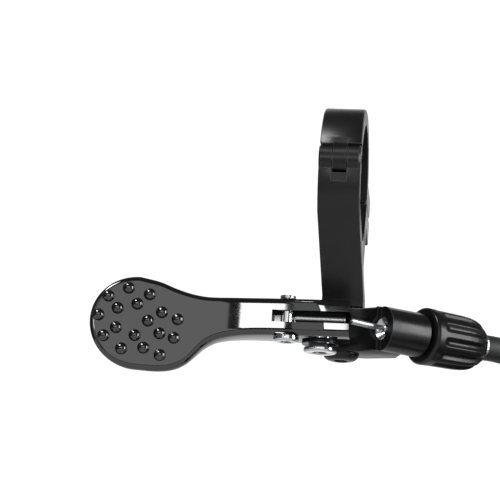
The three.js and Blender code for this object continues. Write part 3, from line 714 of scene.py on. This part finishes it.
# darker, evenly ground steel
race, tree, surface = finish_of("bearing_steel_ground", "#a3a5a9", Metallic=1.0)
wear_and_edge_sheen(tree, surface, 1.5, 0.22, 0.34, 0.12, 0.002, "#c2c4c7")
kept = {
    steel: ["hinge_pin", "clamp_bolt_washer", "shim_lower", "shim_upper", "pinch_nut",
            "wire_nipple"],
    race: ["bearing_lower", "bearing_upper"],
    oxide: ["thrust_washer", "pivot_nut", "adjuster_barrel"],
    chrome: ["pinch_sleeve"],
    bare: ["housing_ferrule", "end_ferrule"],
}
for material, names in kept.items():
    for name in names:
        piece = frame["nodes"][name]
        piece.data.materials.clear()
        piece.data.materials.append(material)
        piece.data.shade_smooth()
        piece.data.set_sharp_from_angle(angle=math.radians(30))

# ---- barrel adjuster knob ----
# 6061 aluminium, turned with a domed end, then twelve flutes milled for the fingers, anodised as
# the clamp is. It screws on to the threaded barrel in the base block's tube.
KNOB_START, KNOB_END, KNOB_H, KNOB_R, FLUTES = 9.15, 22.9, 13.75, 5.45, 12
FLUTE_DEPTH, FLUTE_SHARE = 0.62, 0.62  # in millimetres, and as a share of the pitch
FLUTE_START, FLUTE_RUN_OUT, FLUTE_STOP = 2.2, 12, 13.6
FERRULE_BORE_R, BARREL_BORE_R, BORE_STEP = 2.95, 3.5, 13.2
SKIN = [(4.75, 0), (5.15, 0.12), (KNOB_R, 0.5), (5.43, 2.0), (5.38, 5.0), (5.33, 8.0), (5.2, 9.8),
        (4.95, 11.2), (4.5, 12.3), (3.9, 13.1), (3.3, 13.62), (3.1, KNOB_H)]


def knob_radius(h):
    for (r0, h0), (r1, h1) in zip(SKIN, SKIN[1:]):
        if h <= h1:
            return r0 + (r1 - r0) * (h - h0) / max(1e-9, h1 - h0)
    return SKIN[-1][0]


bm = bmesh.new()
AROUND = 288
heights = [0, 0.06, 0.12, 0.25, 0.5] + [0.5 + 0.3 * k for k in range(1, 44)] + [13.55, 13.7, KNOB_H]
knob_rows = []
for h in heights:
    start = min(1.0, max(0.0, (h - FLUTE_START) / 1.2))
    fading = 1 if h < FLUTE_RUN_OUT else max(0.0, (FLUTE_STOP - h) / 1.6)
    depth = FLUTE_DEPTH * (1 - (1 - start) ** 2) * fading
    row = []
    for k in range(AROUND):
        a = 2 * math.pi * k / AROUND
        lobe = abs(((a * FLUTES / (2 * math.pi)) % 1.0) - 0.5) * 2  # 0 in a flute's middle, 1 on a land
        scoop = max(0.0, 1 - (lobe / FLUTE_SHARE) ** 2)
        r = knob_radius(h) - depth * scoop
        row.append(bm.verts.new((r * math.cos(a), r * math.sin(a), KNOB_START + h)))
    knob_rows.append(row)
for r, h in [(FERRULE_BORE_R, KNOB_END), (FERRULE_BORE_R, BORE_STEP), (BARREL_BORE_R, BORE_STEP),
             (BARREL_BORE_R, KNOB_START)]:
    knob_rows.append([bm.verts.new((r * math.cos(2 * math.pi * k / AROUND),
                                    r * math.sin(2 * math.pi * k / AROUND), h))
                      for k in range(AROUND)])
for lower, upper in zip(knob_rows, knob_rows[1:] + knob_rows[:1]):
    for k in range(AROUND):
        j = (k + 1) % AROUND
        bm.faces.new([lower[k], lower[j], upper[j], upper[k]])
knob = built("adjuster_knob_fluted", bm, on_adjuster)
knob.data.shade_smooth()
knob.data.set_sharp_from_angle(angle=math.radians(40))
show(knob, "adjuster", "anodised", anodised, "adjuster_knob")

# ---- inner wire ----
# Stainless 1 x 19 strand, 1.2 mm, drawn and slick, pinched in the lever's slot. The real one has
# twelve outer wires. Nine are made here, a little deep, so that they show.
# bright drawn wire with short slanted lights
strand_steel, tree, surface = finish_of("stainless_drawn", "#d2d4d6", Metallic=1.0)
wear_and_edge_sheen(tree, surface, 1, 0.28, 0.42, 0.1, 0.001, "#e4e5e7")
WIRE_R, STRANDS, LAY, STRAND_DEPTH = 0.6, 9, 7.0, 0.13


def strand(so_far, angle):
    """The wire's radius, lobed by its strands, which turn once in each lay."""
    turn = STRANDS * (angle - 2 * math.pi * so_far / (LAY * MM))
    return (WIRE_R - STRAND_DEPTH * (1 - abs(math.cos(turn / 2)))) * MM


def wire(name, start, end, body, cad_node):
    steps = max(2, round((end - start).length / FINE_STEP))
    path = [start.lerp(end, k / steps) for k in range(steps + 1)]
    made = swept(name, path, strand, STRANDS * 8)
    made.data.set_sharp_from_angle(angle=math.radians(80))
    show(made, body, "wire", strand_steel, cad_node)
    return made


corner = Vector(joint["wire_swing"]["pos_m"])
slot_wire_low, slot_wire_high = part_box("wire_in_slot")
wire("wire_strands_in_slot", Vector((slot_wire_low.x, corner.y, corner.z)),
     Vector((slot_wire_high.x, corner.y, corner.z)), "lever", "wire_in_slot")
span_way = (mouth - corner).normalized()
BEND_GAP = 0.45 * MM  # left where the wire bends, so that its stretches don't meet at rest
wire("wire_strands_span", corner + span_way * BEND_GAP, mouth - span_way * 0.05 * MM, "span",
     "wire_span")
wire("wire_strands_core", mouth + adjuster_way * BEND_GAP, mouth + adjuster_way * 13 * MM, "core",
     "wire_core")
tail_wire_low, tail_wire_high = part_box("wire_tail")
bare_wire = wire("wire_strands_tail", Vector((tail_x, tail_y, tail_wire_high.z)),
                 Vector((tail_x, tail_y, tail_wire_low.z)), "cable_end", "wire_tail")

# ---- studio ----
# A pale floor under the hanging coil, a surround that is white behind the piece and dim elsewhere,
# and soft boxes: one small panel for the lever's arm, and broad dim ones for its paddle.
FLOOR_HALF = 0.3
floor_mesh = bpy.data.meshes.new("floor")
floor_z = cad_box[0].z - 1 * MM
floor_mesh.from_pydata([(-FLOOR_HALF, -FLOOR_HALF, floor_z), (FLOOR_HALF, -FLOOR_HALF, floor_z),
                        (FLOOR_HALF, FLOOR_HALF, floor_z), (-FLOOR_HALF, FLOOR_HALF, floor_z)],
                       [], [(0, 1, 2, 3)])
floor = bpy.data.objects.new("floor", floor_mesh)
bpy.context.scene.collection.objects.link(floor)
# pale matt paper that holds only soft shadows
pale, tree, surface = finish_of("floor_paper", "#e9e9e8")
wear_and_edge_sheen(tree, surface, 40, 0.7, 0.85, 0.5, 0.02, "#e9e9e8")
floor.data.materials.append(pale)
world = bpy.data.worlds.new("surround")
bpy.context.scene.world = world
world.use_nodes = True
tree = world.node_tree
# brighter the closer a direction is to the lens's line of sight: the limits are cosines
way = node(tree, "ShaderNodeTexCoord").outputs["Generated"]
behind = node(tree, "ShaderNodeVectorMath", {0: way}, operation="DOT_PRODUCT")
behind.inputs[1].default_value = -back
glow = node(tree, "ShaderNodeMapRange", {"Value": behind.outputs["Value"]},
            From_Min=0.8, From_Max=0.95, To_Min=0.12, To_Max=1.1)
tree.links.new(glow.outputs["Result"], tree.nodes["Background"].inputs["Strength"])
tree.nodes["Background"].inputs["Color"].default_value = linear("#ffffff")
bpy.context.scene.view_settings.view_transform = "Standard"


def soft_box(name, place, aim, width, height, power):
    """An area light in millimetres, turned to its aim, its power in watts."""
    box = bpy.data.lights.new(name, "AREA")
    box.shape = "RECTANGLE"
    box.size, box.size_y = width * MM, height * MM
    box.energy = power
    made = bpy.data.objects.new(name, box)
    place, aim = Vector(place) * MM, Vector(aim) * MM
    made.matrix_world = Matrix.Translation(place) @ (aim - place).to_track_quat(
        "-Z", "Y").to_matrix().to_4x4()
    bpy.context.scene.collection.objects.link(made)


soft_box("key", (-260, -300, 520), (-10, 0, -10), 260, 160, 3.5)
soft_box("arm_strip", (-60, -500, 41), (-60, -12, 41), 60, 49, 0.13)
soft_box("paddle_panel", (150, -500, 70), (150, -12, 70), 330, 380, 0.5)
soft_box("outer_panel", (-205, -500, 70), (-205, -12, 70), 210, 380, 0.22)
soft_box("side", (520, -120, 60), (0, 0, -20), 160, 360, 2)
